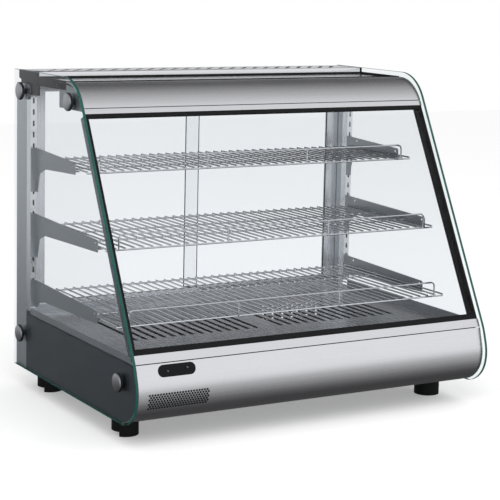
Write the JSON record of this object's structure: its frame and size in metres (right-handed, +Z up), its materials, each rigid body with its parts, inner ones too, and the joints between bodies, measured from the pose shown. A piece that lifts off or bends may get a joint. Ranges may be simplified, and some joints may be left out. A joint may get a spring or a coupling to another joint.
{
  "type": "hot food display case",
  "caption": "Countertop heated display case with slanted front glass, frameless side glasses on round caps, wire shelves on hook-in brackets and sliding rear doors.",
  "frame": {"origin": "on the floor under the middle of the case, level with the soles of the feet", "axes": "+X to the viewer's right along the width, +Y from the slanted front glass to the rear doors, +Z up"},
  "size_m": [0.872, 0.632, 0.7135],
  "materials": {
    "brushed_fascia": "horizontally brushed stainless steel, bright",
    "brushed_header": "horizontally brushed stainless steel",
    "brushed_top": "brushed stainless steel",
    "trim_metal": "brushed stainless strip",
    "base_metal": "plain folded stainless sheet",
    "rear_metal": "brushed stainless sheet",
    "deck_metal": "satin stainless sheet",
    "side_panel": "satin grey painted sheet",
    "bracket_metal": "satin stainless sheet",
    "cap_metal": "turned satin aluminium",
    "post_aluminium": "satin anodised aluminium",
    "door_aluminium": "satin anodised aluminium",
    "track_aluminium": "satin anodised aluminium",
    "chrome_wire": "bright chrome-plated wire",
    "element_metal": "oxidised heating element sheath",
    "black_plastic": "black moulded plastic",
    "diffuser_plastic": "opal lamp cover",
    "smoked_plastic": "gloss smoked plastic",
    "foot_rubber": "black rubber",
    "seal_rubber": "black seal",
    "front_glass": "clear toughened glass",
    "side_glass": "clear toughened glass, ground edges",
    "door_glass": "clear toughened glass"
  },
  "bodies": {
    "cabinet": {"base_fascia": "brushed_fascia", "base_pan": "base_metal", "base_side_left": "side_panel", "base_side_right": "side_panel", "base_trim": "trim_metal", "beam_cap_left": "black_plastic", "beam_cap_right": "black_plastic", "bracket_bottom_left": "bracket_metal", "bracket_bottom_right": "bracket_metal", "bracket_middle_left": "bracket_metal", "bracket_middle_right": "bracket_metal", "bracket_top_left": "bracket_metal", "bracket_top_right": "bracket_metal", "control_plate": "black_plastic", "cord_gland": "black_plastic", "deck": "deck_metal", "door_track_bottom": "track_aluminium", "door_track_top": "track_aluminium", "foot_front_left": "foot_rubber", "foot_front_right": "foot_rubber", "foot_rear_left": "foot_rubber", "foot_rear_right": "foot_rubber", "front_glass": "front_glass", "front_seal": "seal_rubber", "glass_cap_front_bottom_left": "cap_metal", "glass_cap_front_bottom_right": "cap_metal", "glass_cap_front_top_left": "cap_metal", "glass_cap_front_top_right": "cap_metal", "glass_cap_rear_bottom_left": "cap_metal", "glass_cap_rear_bottom_right": "cap_metal", "glass_cap_rear_top_left": "cap_metal", "glass_cap_rear_top_right": "cap_metal", "header_end_left": "side_panel", "header_end_right": "side_panel", "header_shell": "brushed_header", "header_trim": "trim_metal", "heating_element": "element_metal", "indicator_window": "smoked_plastic", "lamp_diffuser": "diffuser_plastic", "lamp_housing": "base_metal", "post_left": "post_aluminium", "post_right": "post_aluminium", "rear_panel": "rear_metal", "side_glass_left": "side_glass", "side_glass_right": "side_glass", "top_beam": "brushed_top", "top_frame": "seal_rubber", "top_panel": "brushed_top", "upright_left": "post_aluminium", "upright_right": "post_aluminium"},
    "door_left": {"door_frame_left": "door_aluminium", "door_glass_left": "door_glass"},
    "door_right": {"door_frame_right": "door_aluminium", "door_glass_right": "door_glass"},
    "top_shelf": {"shelf_top": "chrome_wire"},
    "middle_shelf": {"shelf_middle": "chrome_wire"},
    "bottom_shelf": {"shelf_bottom": "chrome_wire"},
    "knob": {"thermostat_knob": "black_plastic"},
    "power_rocker": {"power_switch": "black_plastic"},
    "light_rocker": {"light_switch": "black_plastic"}
  },
  "joints": [
    {"name": "door_left_slide", "type": "slide", "parent": "cabinet", "child": "door_left", "axis": [1, 0, 0], "range_m": [0, 0.385]},
    {"name": "door_right_slide", "type": "slide", "parent": "cabinet", "child": "door_right", "axis": [-1, 0, 0], "range_m": [0, 0.385]},
    {"name": "top_shelf_lift", "type": "slide", "parent": "cabinet", "child": "top_shelf", "axis": [0, 0, 1], "range_m": [0, 0.05]},
    {"name": "middle_shelf_lift", "type": "slide", "parent": "cabinet", "child": "middle_shelf", "axis": [0, 0, 1], "range_m": [0, 0.05]},
    {"name": "bottom_shelf_lift", "type": "slide", "parent": "cabinet", "child": "bottom_shelf", "axis": [0, 0, 1], "range_m": [0, 0.05]},
    {"name": "thermostat_turn", "type": "hinge", "parent": "cabinet", "child": "knob", "pos_m": [-0.105, 0.304, 0.1175], "axis": [0, 1, 0], "range_deg": [0, 270]},
    {"name": "power_rock", "type": "hinge", "parent": "cabinet", "child": "power_rocker", "pos_m": [-0.213, 0.3005, 0.1175], "axis": [1, 0, 0], "range_deg": [-16, 0]},
    {"name": "light_rock", "type": "hinge", "parent": "cabinet", "child": "light_rocker", "pos_m": [-0.168, 0.3005, 0.1175], "axis": [1, 0, 0], "range_deg": [-16, 0]}
  ]
}
